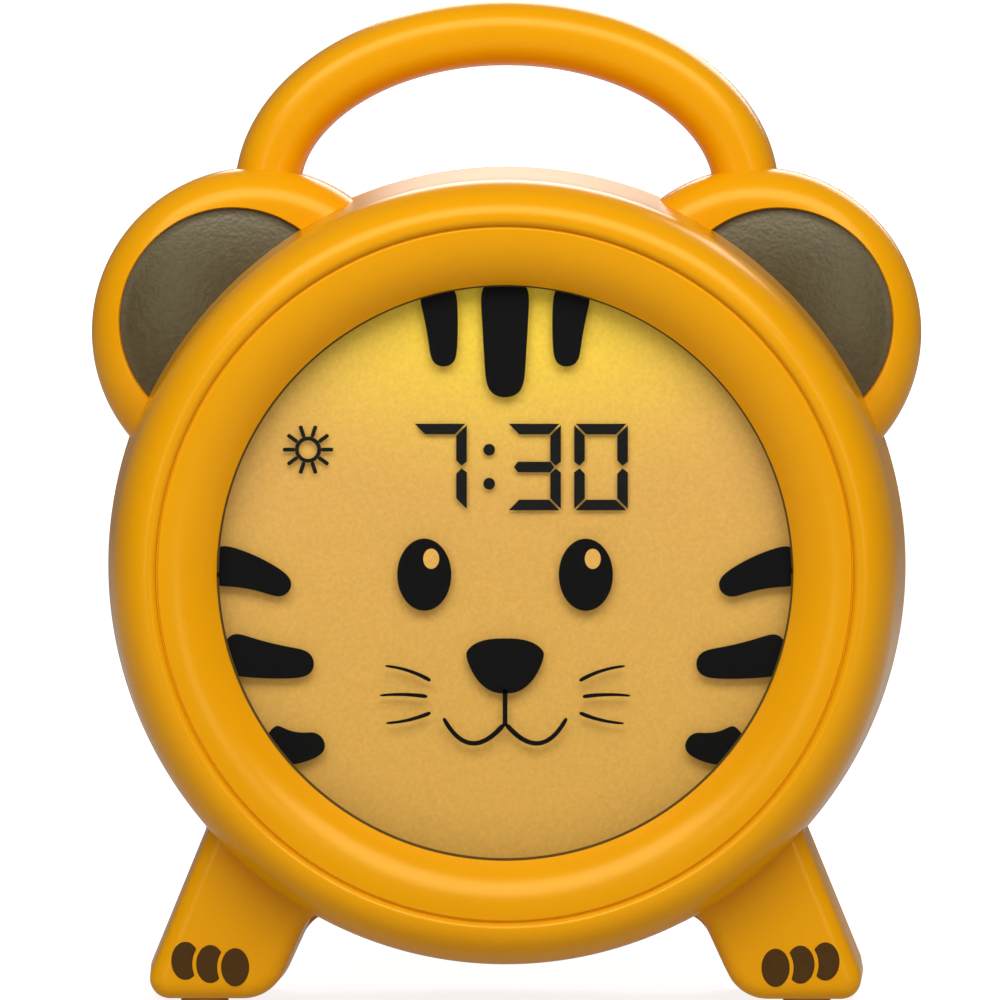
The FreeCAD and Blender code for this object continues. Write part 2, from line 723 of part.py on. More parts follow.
# Speaker: steel basket and magnet, with the cone inside its rim, face to the grille
y_speaker = y_inner - seat_gap
y_magnet = y_speaker - speaker_depth
basket = turned(path(
    section, (0, y_magnet), (magnet_radius, y_magnet), (magnet_radius, y_magnet + magnet_depth),
    (magnet_radius + basket_sheet, y_magnet + magnet_depth),
    (speaker_radius - basket_rim - basket_sheet, y_speaker - basket_lip),
    (speaker_radius, y_speaker - basket_lip), (speaker_radius, y_speaker),
    (speaker_radius - basket_rim, y_speaker), (speaker_radius - basket_rim, y_speaker - basket_step),
    (magnet_radius, y_speaker - basket_well), (0, y_speaker - basket_well)),
    0, speaker_z)
save("speaker_basket", basket)
rim = speaker_radius - basket_rim - seat_gap
cone_edge = rim - surround_width
y_cone = y_speaker - cone_sink
cone = turned(path(
    section, (0, y_speaker - cone_well + cap_crown), (cap_radius, y_speaker - cone_well), (cone_edge, y_cone),
    (rim - surround_width / 2, y_cone + surround_swell, rim, y_cone), (rim, y_cone - surround_thick / 2),
    (rim - surround_width / 2, y_cone + surround_swell - surround_thick, cone_edge, y_cone - surround_thick),
    (cap_radius, y_speaker - cone_back), (0, y_speaker - cone_back)), 0, speaker_z)
save("speaker_cone", cone)

# Battery tray with its screw block, contacts and cells
y_tray = y_inner - tray_depth - tray_wall
z_low = z0 + tray_bottom
z_high = z0 + tray_top
tray = block(-tray_half - tray_wall, tray_half + tray_wall, y_tray, y_inner - seat_gap / 2,
             z_low - tray_wall, z_high + tray_wall)
tray = tray.fuse(block(-latch_half - latch_wall, latch_half + latch_wall, y_inner - latch_depth,
                       y_inner - seat_gap / 2, z_high, latch_top + latch_wall))
tray = tray.cut(block(-tray_half, tray_half, y_tray + tray_wall, y_inner + 1, z_low, z_high))
tray = tray.cut(rod(0, screw_z, screw_radius + screw_play, y_inner - screw_reach - 2, y_inner + 1))
notch = tongue_width / 2 + slip_gap
for side in (-1, 1):
    x = side * tongue_x
    tray = tray.cut(block(x - notch, x + notch, y_inner - 2 * tongue_thick - slip_gap, y_inner + 1,
                          z_low - 2 * tray_wall, z_low + 1))
save("battery_tray", tray)
y_cell = y_tray + tray_wall + cell_radius + seat_gap
cells = []
contacts = []
for i in range(cell_count):
    z = z_high - cell_play - cell_radius - i * cell_pitch
    turn = 1 if i % 2 else -1
    body = Part.makeCylinder(cell_radius, cell_length, V(-cell_length / 2, y_cell, z), V(1, 0, 0))
    nub = Part.makeCylinder(nub_radius, nub_height, V(turn * cell_length / 2, y_cell, z), V(turn, 0, 0))
    cells.append(body.fuse(nub))
    for side in (-1, 1):
        x_wall = side * tray_half
        x_face = x_wall - side * contact_sheet
        plate = block(min(x_wall, x_face), max(x_wall, x_face), y_cell - contact_half, y_cell + contact_half,
                      z - contact_rise, z + contact_rise)
        reach = contact_space - contact_sheet - seat_gap - (nub_height if side == turn else 0)
        tip = Part.makeCone(spring_wide, spring_narrow, reach, V(x_face, y_cell, z), V(-side, 0, 0))
        contacts.append(plate.fuse(tip))
save("battery_cells", *cells)
save("battery_contacts", *contacts)

# Battery door: two tongues hook behind the wall below, and one captive screw holds the tab above
door = door_outline(0, y_inner + seat_gap, y_back)
door = door.cut(rod(0, screw_z, screw_radius + seat_gap, y_inner - 1, y_back + 1))
door = door.cut(rod(0, screw_z, screw_head + slip_gap, y_back - head_height, y_back + 1))
for side in (-1, 1):
    x = side * tongue_x
    door = door.fuse(block(x - tongue_width / 2, x + tongue_width / 2, y_inner - tongue_thick - seat_gap,
                           y_inner - seat_gap, door_bottom - tongue_drop, door_bottom + 1.2))
    door = door.fuse(block(x - tongue_width / 2, x + tongue_width / 2, y_inner - tongue_thick,
                           y_inner + 2 * seat_gap, door_bottom, door_bottom + 1.2))
save("battery_door", door)
door_screw = rod(0, screw_z, screw_radius, y_inner - screw_reach, y_back - head_height)
save("door_screw", door_screw.fuse(rod(0, screw_z, screw_head, y_back - head_height, y_back)))

# Power inlet: a thin steel shell round a tongue of contacts, on a small board on its shelf
socket = bar(inlet_x, inlet_z, inlet_width / 2, inlet_height / 2, inlet_height / 2.01,
             y_inner - inlet_depth, y_back - socket_sink)
socket = socket.cut(bar(inlet_x, inlet_z, inlet_width / 2 - inlet_wall, inlet_height / 2 - inlet_wall,
                        (inlet_height / 2 - inlet_wall) * 0.99, y_inner - inlet_depth + socket_floor, y_back))
socket = socket.fuse(block(inlet_x - tongue_half, inlet_x + tongue_half, y_inner - inlet_depth,
                           y_back - tongue_sink, inlet_z - tongue_thin / 2, inlet_z + tongue_thin / 2))
save("power_socket", socket)
save("power_board", block(inlet_x - inlet_width + 1, inlet_x + inlet_width - 1, y_inner - 2 * inlet_depth,
                          y_inner - seat_gap, shelf_low, inlet_z - inlet_height / 2))
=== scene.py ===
import math

import bmesh
import bpy
import numpy as np
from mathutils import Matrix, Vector


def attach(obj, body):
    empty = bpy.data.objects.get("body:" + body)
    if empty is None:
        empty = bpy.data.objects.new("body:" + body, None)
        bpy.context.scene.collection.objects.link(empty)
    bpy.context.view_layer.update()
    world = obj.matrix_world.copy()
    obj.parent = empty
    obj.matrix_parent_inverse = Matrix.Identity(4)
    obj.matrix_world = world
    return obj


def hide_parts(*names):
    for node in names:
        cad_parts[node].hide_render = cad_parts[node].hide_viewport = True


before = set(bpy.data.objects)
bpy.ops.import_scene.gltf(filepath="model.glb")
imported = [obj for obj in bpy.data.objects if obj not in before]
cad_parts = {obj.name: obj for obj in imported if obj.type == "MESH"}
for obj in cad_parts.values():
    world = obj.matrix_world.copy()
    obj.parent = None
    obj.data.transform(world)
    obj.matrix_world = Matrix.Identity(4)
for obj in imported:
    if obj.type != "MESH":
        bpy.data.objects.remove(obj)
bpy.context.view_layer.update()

# Studio: a sheet of white paper lit from below under the clock, a key light above and in
# front, a tall strip on each side for the highlights, a soft box behind, and a long lens.
MM = 0.001


def linear(code):
    """Linear colour of an sRGB hex code, opaque."""
    channels = np.array([int(code[i:i + 2], 16) for i in (0, 2, 4)]) / 255
    curve = np.where(channels <= 0.04045, channels / 12.92, ((channels + 0.055) / 1.055) ** 2.4)
    return (*curve.tolist(), 1.0)


def add_node(tree, kind, links=None, values=None, **settings):
    """Add a shader node; links and values are given by the name or number of its sockets."""
    node = tree.nodes.new(kind)
    for name, value in settings.items():
        setattr(node, name, value)
    for name, value in (values or {}).items():
        node.inputs[name].default_value = value
    for name, source in (links or {}).items():
        tree.links.new(source, node.inputs[name])
    return node


def new_material(name):
    """An empty material with its output node and its object coordinates."""
    material = bpy.data.materials.new(name)
    material.use_nodes = True
    material.node_tree.nodes.clear()
    output = add_node(material.node_tree, "ShaderNodeOutputMaterial")
    place = add_node(material.node_tree, "ShaderNodeTexCoord").outputs["Object"]
    return material, material.node_tree, output, place


def noise(tree, place, scale, detail=2.0):
    """Soft random values over the piece, finer the greater the scale."""
    return add_node(tree, "ShaderNodeTexNoise", {"Vector": place},
                    {"Scale": scale, "Detail": detail}).outputs["Fac"]


def cover(tree, output, links, values):
    """The one shader of a surface, with its links and uniform values, joined to the output."""
    shader = add_node(tree, "ShaderNodeBsdfPrincipled", links, values)
    tree.links.new(shader.outputs[0], output.inputs["Surface"])


def surface(name, points, around=True, along=False):
    """Mesh of a grid of points in millimetres, joined across its first and last columns
    (around) and rows (along), with doubled points at poles merged and normals outwards."""
    rows, columns = points.shape[:2]
    row = np.arange(rows if along else rows - 1)[:, None]
    column = np.arange(columns if around else columns - 1)[None, :]
    here = row * columns + column
    across = row * columns + (column + 1) % columns
    step = (((row + 1) % rows) - row) * columns
    quads = np.stack([here, across, across + step, here + step], axis=-1).reshape(-1, 4)
    mesh = bpy.data.meshes.new(name)
    mesh.from_pydata((points.reshape(-1, 3) * MM).tolist(), [], quads.tolist())
    return finish_mesh(name, mesh)


def finish_mesh(name, mesh, sharp=40):
    """Merge doubled points, turn the faces outwards, smooth edges of less than sharp degrees, and
    put the piece in the scene."""
    work = bmesh.new()
    work.from_mesh(mesh)
    bmesh.ops.remove_doubles(work, verts=work.verts, dist=1e-6)
    bmesh.ops.recalc_face_normals(work, faces=work.faces)
    work.to_mesh(mesh)
    work.free()
    mesh.shade_smooth()
    mesh.set_sharp_from_angle(angle=math.radians(sharp))
    piece = bpy.data.objects.new(name, mesh)
    bpy.context.scene.collection.objects.link(piece)
    return piece


floor_half = 2000.0                      # millimetres, as all sizes of pieces in this script
edges = np.array([-floor_half, floor_half])
paper = np.zeros((2, 2, 3))
paper[:, :, 0], paper[:, :, 1] = edges[None, :], edges[:, None]
floor = surface("paper_floor", paper, around=False)
paper_cast = 0.22                        # what the paper sends up to the clock
paper_near, paper_far = 0.84, 1.1        # what the camera sees of it, beside the clock and far off
near, far = 0.12, 0.45                   # metres from the middle of the clock
paper_white, tree, output, place = new_material("matt_white_paper")
# smooth card: matt, with a grain too fine to see, and evenly lit so that it fades into the room
grain = add_node(tree, "ShaderNodeBump", {"Height": noise(tree, place, 900.0)}, {"Strength": 0.02})
seen = add_node(tree, "ShaderNodeLightPath")
away = add_node(tree, "ShaderNodeVectorMath", {0: place}, operation="LENGTH")
table = add_node(tree, "ShaderNodeMapRange", {"Value": away.outputs["Value"]},
                 {"From Min": near, "From Max": far, "To Min": paper_near, "To Max": paper_far})
lit = add_node(tree, "ShaderNodeMapRange",
               {"Value": seen.outputs["Is Camera Ray"], "To Max": table.outputs[0]},
               {"To Min": paper_cast})
cover(tree, output, {"Normal": grain.outputs[0], "Emission Strength": lit.outputs[0]},
      {"Base Color": linear("989898"), "Roughness": 0.9, "Specular IOR Level": 0.1,
       "Emission Color": linear("ffffff")})
floor.data.materials.append(paper_white)


def soft_box(name, place, aim, width, height, watts):
    """A white panel of light at place that faces aim; sizes in metres."""
    light = bpy.data.lights.new(name, "AREA")
    light.shape = "RECTANGLE"
    light.size, light.size_y = width, height
    light.energy = watts
    lamp = bpy.data.objects.new(name, light)
    lamp.location = place
    direction = np.array(aim) - np.array(place)
    lamp.rotation_euler = Vector(direction).to_track_quat("-Z", "Y").to_euler()
    bpy.context.scene.collection.objects.link(lamp)


middle = (0.0, 0.0, 0.095)
room_cast, room_seen = 0.16, 1.3         # the room lights the clock softly but looks pure white
soft_box("key_above_front", (0.0, -0.50, 0.56), (0.0, 0.0, 0.14), 0.95, 0.34, 5.0)
soft_box("strip_left", (-0.38, -1.02, 0.16), middle, 0.14, 0.60, 0.85)
soft_box("strip_right", (0.42, -1.02, 0.18), middle, 0.14, 0.60, 0.95)
soft_box("soft_box_behind", (0.2, 0.80, 0.62), middle, 0.8, 0.5, 5.0)
world = bpy.data.worlds.new("studio")
world.use_nodes = True
room = world.node_tree.nodes["Background"]
room.inputs["Color"].default_value = linear("ffffff")
ray = add_node(world.node_tree, "ShaderNodeLightPath")
bright = add_node(world.node_tree, "ShaderNodeMapRange", {"Value": ray.outputs["Is Camera Ray"]},
                  {"To Min": room_cast, "To Max": room_seen})
world.node_tree.links.new(bright.outputs[0], room.inputs["Strength"])
bpy.context.scene.world = world

view_height = 0.190                      # metres that the picture shows at the clock
view_distance = 2.4
sensor = 36.0
elevation, azimuth = math.radians(2.6), math.radians(0.7)
aim = np.array([-0.00124, 0.0, 0.0948])
heading = np.array([math.sin(azimuth) * math.cos(elevation), -math.cos(azimuth) * math.cos(elevation),
                    math.sin(elevation)])
camera_data = bpy.data.cameras.new("camera")
camera_data.sensor_width = sensor
camera_data.lens = sensor * view_distance / view_height
camera_data.clip_end = 20.0
camera = bpy.data.objects.new("camera", camera_data)
camera.location = (aim + heading * view_distance).tolist()
camera.rotation_euler = Vector(-heading).to_track_quat("-Z", "Y").to_euler()
bpy.context.scene.collection.objects.link(camera)
bpy.context.scene.camera = camera
bpy.context.scene.view_settings.view_transform = "Standard"

# Front half of the housing: one glossy orange ABS moulding. The drum's ring is turned, with
# a rolled lip round the bezel, a full shoulder and a side wall that widens to the parting line.
AXIS_Z = 82.2                            # height of the drum's axis
PART_Y = 4.0                             # parting line of the two halves
FRONT_Y = -33.0                          # crest of the ring
WALL = 2.5
drum_radius = 75.9                       # at the parting line
rim_radius = 74.0                        # where the shoulder starts
shoulder_depth = 11.0
lip_radius, lip_round = 65.45, 1.4       # the opening that the bezel fills
seam = 0.25                              # chamfer where the halves meet


def arc(centre, radius, start, end, count):
    """Points on a circle or ellipse about centre, from angle start to end in degrees."""
    angle = np.radians(np.linspace(start, end, count))
    reach = np.broadcast_to(radius, 2)
    return np.stack([centre[0] + reach[0] * np.cos(angle), centre[1] + reach[1] * np.sin(angle)], axis=-1)


def line(start, end, count):
    """Evenly spaced points from start to end."""
    return np.linspace(start, end, count)


def turned(name, profile, centre=(0.0, AXIS_Z), steps=256, closed=True):
    """Turn a profile of (radius, y) about a line along Y through centre: x = r cos a, z = r sin a."""
    angle = np.linspace(0, 2 * math.pi, steps, endpoint=False)
    radius, depth = profile[:, 0][:, None], profile[:, 1][:, None]
    x, z = centre[0] + radius * np.cos(angle), centre[1] + radius * np.sin(angle)
    points = np.stack([x, np.broadcast_to(depth, x.shape), z], axis=-1)
    return surface(name, points, along=closed)


crest = lip_radius + lip_round
ring_profile = np.concatenate([
    line((lip_radius, FRONT_Y + WALL), (lip_radius, FRONT_Y + lip_round), 3)[:-1],
    arc((crest, FRONT_Y + lip_round), lip_round, 180, 270, 8)[:-1],
    arc((crest, FRONT_Y + shoulder_depth), (rim_radius - crest, shoulder_depth), 270, 360, 24)[:-1],
    line((rim_radius, FRONT_Y + shoulder_depth), (drum_radius, PART_Y - seam), 8),
    np.array([(drum_radius - seam, PART_Y), (drum_radius - WALL, PART_Y),
              (rim_radius - WALL, FRONT_Y + shoulder_depth)]),
    arc((crest, FRONT_Y + shoulder_depth), (rim_radius - WALL - crest, shoulder_depth - WALL),
        360, 270, 8)[1:],
])
ring = turned("front_ring", ring_profile)


def two_tones(tree, value, low, high, ends=(0.0, 1.0)):
    """Colour that drifts between two close tones as value goes from one end to the other."""
    ramp = add_node(tree, "ShaderNodeValToRGB", {"Fac": value})
    for element, end, code in zip(ramp.color_ramp.elements, ends, (low, high)):
        element.position, element.color = end, linear(code)
    return ramp.outputs["Color"]


def relief(tree, height, strength, distance):
    """Normals of a surface that this height roughens; distance is in metres."""
    return add_node(tree, "ShaderNodeBump", {"Height": height},
                    {"Strength": strength, "Distance": distance}).outputs[0]


orange_abs, tree, output, place = new_material("orange_abs_polished_mould")
# ABS from a polished mould: even colour, a soft gloss, and the faint waviness of a thick moulding
tint = two_tones(tree, noise(tree, place, 28.0), "e69b00", "ea9f00", (0.3, 0.7))
peel = relief(tree, noise(tree, place, 400.0, 1.0), 0.015, 0.0002)
cover(tree, output, {"Base Color": tint, "Normal": peel},
      {"Roughness": 0.26, "IOR": 1.5, "Specular Tint": (1.0, 0.8, 0.3, 1.0)})


def housing_piece(piece, node="front_shell", material=orange_abs):
    """The piece stands for a node of the fixed housing, which is hidden, and takes the given material."""
    piece.data.materials.clear()
    piece.data.materials.append(material)
    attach(piece, "housing")
    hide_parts(node)


housing_piece(ring)

# Ears: round discs behind the ring, moulded in one with it, with a full rim, a flat face and a
# shallow pocket for the pad. Inside the drum they are cut away.
ear_x, ear_z, ear_radius = 47.6, AXIS_Z + 44.6, 31.1
ear_front = PART_Y - 13.0
ear_round = 7.0
ear_flat = ear_radius - ear_round
pad_x, pad_z, pad_radius, pad_sink = 51.7, AXIS_Z + 46.8, 21.4, 1.4
pocket_gap = 0.25                        # round the pad
past = 5.0                               # a cutter stands out of what it cuts by this much
core_front, core_back = FRONT_Y - 9.0, 60.0


def cut_away(piece, cutters):
    """Take closed cutters away from a closed piece, and remove the cutters."""
    for cutter in cutters:
        cut = piece.modifiers.new("Cut", "BOOLEAN")
        cut.operation, cut.solver, cut.object = "DIFFERENCE", "EXACT", cutter
    result = bpy.data.meshes.new_from_object(piece.evaluated_get(bpy.context.evaluated_depsgraph_get()))
    piece.modifiers.clear()
    piece.data = result
    for cutter in cutters:
        bpy.data.objects.remove(cutter)
    piece.data.shade_smooth()
    piece.data.set_sharp_from_angle(angle=math.radians(30))


def drum_core(radius=drum_radius - WALL):
    """A cutter that fills the drum out to this radius."""
    core = np.array([(0, core_front), (radius, core_front), (radius, core_back), (0, core_back)])
    return turned("core", core, steps=128, closed=False)


ear_profile = np.concatenate([
    line((0, ear_front), (ear_flat, ear_front), 16)[:-1],
    arc((ear_flat, ear_front + ear_round), ear_round, 270, 360, 14)[:-1],
    line((ear_radius, ear_front + ear_round), (ear_radius, PART_Y - seam), 4),
    line((ear_radius - seam, PART_Y), (0, PART_Y), 8),
])
for side, name in ((1, "right"), (-1, "left")):
    ear = turned("ear_" + name + "_front", ear_profile, (side * ear_x, ear_z), 192, closed=False)
    pocket_outline = np.array([(0, ear_front - past), (pad_radius + pocket_gap, ear_front - past),
                               (pad_radius + pocket_gap, ear_front + pad_sink),
                               (0, ear_front + pad_sink)])
    pocket = turned("pocket", pocket_outline, (side * pad_x, pad_z), 128, closed=False)
    cut_away(ear, [drum_core(), pocket])
    housing_piece(ear)

# Handle: an arched grip, half an ellipse with straight roots that run down into the ears.
# Its section is a soft oval, moulded in two halves that meet at the parting line.
handle_z = AXIS_Z + 71.1
handle_span, handle_arch, handle_root = 45.5, 30.2, 12.0
grip_half, grip_reach = 6.2, 8.0         # half the grip's width, and its depth in this half
grip_power = 2.4


def handle_half(name):
    """Sweep the front half of the section, |n / a|^p + |y / b|^p = 1, along the arch."""
    bend = np.linspace(0, math.pi, 121)
    arch = np.stack([handle_span * np.cos(bend), handle_z + handle_arch * np.sin(bend)], axis=-1)
    drop = np.linspace(handle_root, 0, 6)[:-1, None]
    right = np.concatenate([np.full_like(drop, handle_span), handle_z - drop], axis=-1)
    left = np.concatenate([np.full_like(drop, -handle_span), handle_z - drop], axis=-1)[::-1]
    centre = np.concatenate([right, arch, left])
    along = np.gradient(centre, axis=0)
    along /= np.linalg.norm(along, axis=1, keepdims=True)
    outward = np.stack([along[:, 1], -along[:, 0]], axis=-1)
    turn = np.linspace(0, math.pi, 33)
    across = grip_half * np.sign(np.cos(turn)) * np.abs(np.cos(turn)) ** (2 / grip_power)
    depth = PART_Y - grip_reach * np.sin(turn) ** (2 / grip_power)
    flat = np.linspace(-grip_half, grip_half, 8)[1:-1]
    across = np.concatenate([across, flat])
    depth = np.concatenate([depth, np.full(len(flat), PART_Y)])
    place = centre[:, None, :] + outward[:, None, :] * across[None, :, None]
    points = np.stack([place[..., 0], np.broadcast_to(depth, place.shape[:2]), place[..., 1]], axis=-1)
    ends = [np.broadcast_to(points[i].mean(axis=0), points[i].shape) for i in (0, -1)]
    points = np.concatenate([ends[0][None], points, ends[1][None]])
    return surface(name, points)


housing_piece(handle_half("handle_front"))

# Legs: two splayed feet whose edges flare into the drum. The front edge is rounded and the
# sides open by a degree or two towards the parting line, as a moulding has to leave its mould.
foot_outer, foot_inner, sole_z = 70.1, 43.8, 0.6
splay_outer, splay_inner = 22.2, 24.7
outer_corner, inner_corner = 4.5, 9.0
outer_fillet, inner_fillet, tucked_corner = 5.0, 4.0, 3.0
skirt_turn, skirt_depth = 9, 1           # degrees along the drum and millimetres into it, where the
root_turn, root_depth = 2, 8             # leg's outline runs on inside the drum
leg_front_y = PART_Y - 24.0
leg_round, leg_draft = (3.3, 2.4), 0.7   # the edge is rounded wider across the face than deep
girth = rim_radius - 0.3                 # where the leg's sides are taken to meet the drum
outline_step = 0.6                       # spacing of the points of a rounded outline


def rounded_outline(corners):
    """Closed outline through (x, z, radius) corners, each rounded by an arc tangent to its sides."""
    corners = np.array(corners, dtype=float)
    pieces = []
    for i in range(len(corners)):
        here, radius = corners[i, :2], corners[i, 2]
        last, after = corners[i - 1, :2] - here, corners[(i + 1) % len(corners), :2] - here
        last, after = last / np.linalg.norm(last), after / np.linalg.norm(after)
        half = math.acos(np.clip(last @ after, -1, 1)) / 2
        run = radius / math.tan(half)
        centre = here + (last + after) / np.linalg.norm(last + after) * radius / math.sin(half)
        first, end = here + last * run - centre, here + after * run - centre
        a0, a1 = math.atan2(first[1], first[0]), math.atan2(end[1], end[0])
        turn = (a1 - a0 + math.pi) % (2 * math.pi) - math.pi
        angle = np.linspace(a0, a0 + turn, 13)
        pieces.append(centre + radius * np.stack([np.cos(angle), np.sin(angle)], axis=-1))
    outline = np.concatenate(pieces)
    closed = np.concatenate([outline, outline[:1]])
    length = np.concatenate([[0], np.cumsum(np.linalg.norm(np.diff(closed, axis=0), axis=1))])
    even = np.linspace(0, length[-1], int(length[-1] / outline_step), endpoint=False)
    return np.stack([np.interp(even, length, closed[:, i]) for i in (0, 1)], axis=-1)


def inward(outline):
    """Unit normals of a closed outline, pointing into it."""
    along = np.roll(outline, -1, axis=0) - np.roll(outline, 1, axis=0)
    normal = np.stack([-along[:, 1], along[:, 0]], axis=-1)
    normal /= np.linalg.norm(normal, axis=1, keepdims=True)
    area = np.sum(outline[:, 0] * np.roll(outline[:, 1], -1) - np.roll(outline[:, 0], -1) * outline[:, 1])
    return normal * np.sign(area)


def cushion(name, outline, y_face, y_back, edge, draft=0.0):
    """A moulded block seen along Y: rings shrink from the back outline to a flat face and round its
    edge. The edge is one radius, or its reach across the face and its depth."""
    normal = inward(outline)
    turn = np.radians(np.linspace(0, 90, 8))
    edge_across, edge_deep = np.broadcast_to(edge, 2)
    inset = np.concatenate([[0.0], draft + edge_across * (1 - np.cos(turn))])
    depth = np.concatenate([[y_back], y_face + edge_deep * (1 - np.sin(turn))])
    rings = [np.insert(outline + normal * i, 1, y, axis=1) for i, y in zip(inset, depth)]
    points = np.stack(rings)
    count, around = points.shape[:2]
    here = np.arange(count - 1)[:, None] * around + np.arange(around)
    across = np.arange(count - 1)[:, None] * around + (np.arange(around) + 1) % around
    quads = np.stack([here, across, across + around, here + around], axis=-1).reshape(-1, 4).tolist()
    caps = [list(range(around)), list(range((count - 1) * around, count * around))]
    mesh = bpy.data.meshes.new(name)
    mesh.from_pydata((points.reshape(-1, 3) * MM).tolist(), [], quads + caps)
    return finish_mesh(name, mesh)


def leg_outline(side):
    """Outline of a leg from the sole up into the drum; side is 1 for the right leg."""
    def meet(x_foot, splay):
        lean = math.tan(math.radians(splay))
        rise = AXIS_Z - sole_z
        a, b, c = 1 + lean ** 2, -2 * (rise + x_foot * lean), x_foot ** 2 + rise ** 2 - girth ** 2
        up = (-b - math.sqrt(b * b - 4 * a * c)) / (2 * a)
        return x_foot - lean * up, sole_z + up

    def inside(point, turn, depth):
        angle = math.atan2(point[1] - AXIS_Z, point[0]) + math.radians(turn)
        return (girth - depth) * math.cos(angle), AXIS_Z + (girth - depth) * math.sin(angle)

    out_point, in_point = meet(foot_outer, splay_outer), meet(foot_inner, splay_inner)
    outline = rounded_outline([
        (foot_inner, sole_z, inner_corner), (foot_outer, sole_z, outer_corner),
        (*out_point, outer_fillet),
        (*inside(out_point, skirt_turn, skirt_depth), tucked_corner),
        (*inside(out_point, root_turn, root_depth), tucked_corner),
        (*inside(in_point, -root_turn, root_depth), tucked_corner),
        (*inside(in_point, -skirt_turn, skirt_depth), tucked_corner),
        (*in_point, inner_fillet)])
    return outline * np.array([side, 1])


for side, name in ((1, "right"), (-1, "left")):
    housing_piece(cushion("leg_" + name + "_front", leg_outline(side), leg_front_y, PART_Y, leg_round,
                          leg_draft))

# Bezel: a separate ring of the same plastic that slopes back to the lens. A fine groove
# parts it from the housing. The brown line of shadow that its thin inner edge throws round the face is
# painted, as a ring of ink on the lens.
bezel_radius, window_radius, lens_y = 65.2, 54.2, FRONT_Y + 7.4
bezel_crest = FRONT_Y + 0.9
bezel_round = 0.35
bezel_edge = 0.8                         # thickness of the edge that shows round the lens
bezel_bulge = 1.5                        # the slope bows out by this much
ledge_radius = lip_radius - 0.02         # closes the groove a little way down
flange_radius, flange_front, flange_back = 67.1, FRONT_Y + WALL + 0.1, FRONT_Y + WALL + 2.1
flange_inner = 62.1                      # from here the bezel runs back to its sleeve
sleeve_outer, sleeve_inner = 58.1, 56.1  # the sleeve behind holds the lens
sleeve_front, sleeve_back = lens_y + 1.0, lens_y + 7.2
slope_start = np.array([window_radius, lens_y - bezel_edge])
slope_end = np.array([bezel_radius - bezel_round, bezel_crest])
reach = slope_end - slope_start
bulge = np.array([-reach[1], reach[0]]) / np.linalg.norm(reach) * -bezel_bulge
share = np.linspace(0, 1, 40)[:, None]
slope = slope_start + reach * share + bulge * 4 * share * (1 - share)
bezel_profile = np.concatenate([
    line((window_radius, lens_y), slope_start, 3)[:-1], slope,
    arc((bezel_radius - bezel_round, bezel_crest + bezel_round), bezel_round, 270, 360, 6)[1:],
    np.array([(ledge_radius, bezel_crest + bezel_round), (ledge_radius, flange_front),
              (flange_radius, flange_front), (flange_radius, flange_back), (flange_inner, flange_back),
              (sleeve_outer, sleeve_front), (sleeve_outer, sleeve_back), (sleeve_inner, sleeve_back),
              (sleeve_inner, lens_y)])])
housing_piece(turned("bezel_ring", bezel_profile), "face_bezel")

# Lens: a disc of clear acrylic with a fine satin face, behind the bezel's edge, and behind it
# the glass of the liquid crystal panel. Both let the tinted film show with hardly a reflection.


def clear_sheet(name, roughness, gloss):
    """Clear plastic or glass: mostly see-through, with a soft reflection by its Fresnel share,
    which the index gloss sets."""
    material, tree, output, place = new_material(name)
    through = add_node(tree, "ShaderNodeBsdfTransparent", None, {"Color": linear("fefefe")})
    satin = relief(tree, noise(tree, place, 2500.0), 0.05, 0.0001)
    shine = add_node(tree, "ShaderNodeBsdfAnisotropic", {"Normal": satin},
                     {"Color": linear("ffffff"), "Roughness": roughness})
    share = add_node(tree, "ShaderNodeFresnel", None, {"IOR": gloss})
    both_ways = add_node(tree, "ShaderNodeMixShader", {0: share.outputs[0], 1: through.outputs[0],
                                                      2: shine.outputs[0]})
    tree.links.new(both_ways.outputs[0], output.inputs["Surface"])
    return material


def dress(node, material):
    """Give a fixed node that keeps its own shape its material."""
    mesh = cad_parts[node].data
    mesh.materials.clear()
    mesh.materials.append(material)


dress("face_lens", clear_sheet("satin_acrylic_sheet", 0.35, 1.06))
dress("lcd_panel", clear_sheet("polished_float_glass", 0.1, 1.03))

# Tinted film behind the panel: printed golden with a fine grain. The night light's glow from
# above behind is painted in, yellow and paler towards the top, and painted shade darkens it at the rim.
film_y = lens_y + 3.8
glow_z = AXIS_Z + 62.0                   # height of the lamps, just above the window, about which the glow is painted
glow_wide = 0.62                         # the glow spreads further sideways than down
glow_full, glow_gone = 0.006, 0.052      # metres from the lamps
rim_start, rim_end = 0.044, 0.055        # metres from the axis, where painted shade darkens the film
rim_shade = 0.86                         # what the painted shade leaves of the colour at the rim
painted_glow_low, painted_glow_high = AXIS_Z - 55, AXIS_Z + 30       # painted light makes the gold paler from here up to there
speck_dark, speck_light = 0.92, 1.08     # the specks of the grain, against the plain colour
film_with_painted_glow, tree, output, place = new_material("printed_film_painted_glow")
# printed polyester: gold ink with fine specks, matt, and a painted glow of the light behind it as a little
# emission
spread = add_node(tree, "ShaderNodeVectorMath", {0: place}, {1: (0.0, 0.0, -glow_z * MM)},
                  operation="ADD")
lift = add_node(tree, "ShaderNodeVectorMath", {0: spread.outputs[0]}, {1: (glow_wide, 0.0, 1.0)},
                operation="MULTIPLY")
from_lamps = add_node(tree, "ShaderNodeVectorMath", {0: lift.outputs[0]}, operation="LENGTH")
glow = add_node(tree, "ShaderNodeMapRange", {"Value": from_lamps.outputs["Value"]},
                {"From Min": glow_full, "From Max": glow_gone, "To Min": 1.0, "To Max": 0.0},
                interpolation_type="SMOOTHSTEP")
height = add_node(tree, "ShaderNodeSeparateXYZ", {0: place})
fall = add_node(tree, "ShaderNodeMapRange", {"Value": height.outputs["Z"]},
                {"From Min": painted_glow_low * MM, "From Max": painted_glow_high * MM})
ground = two_tones(tree, fall.outputs[0], "d09f3e", "d6a44c")
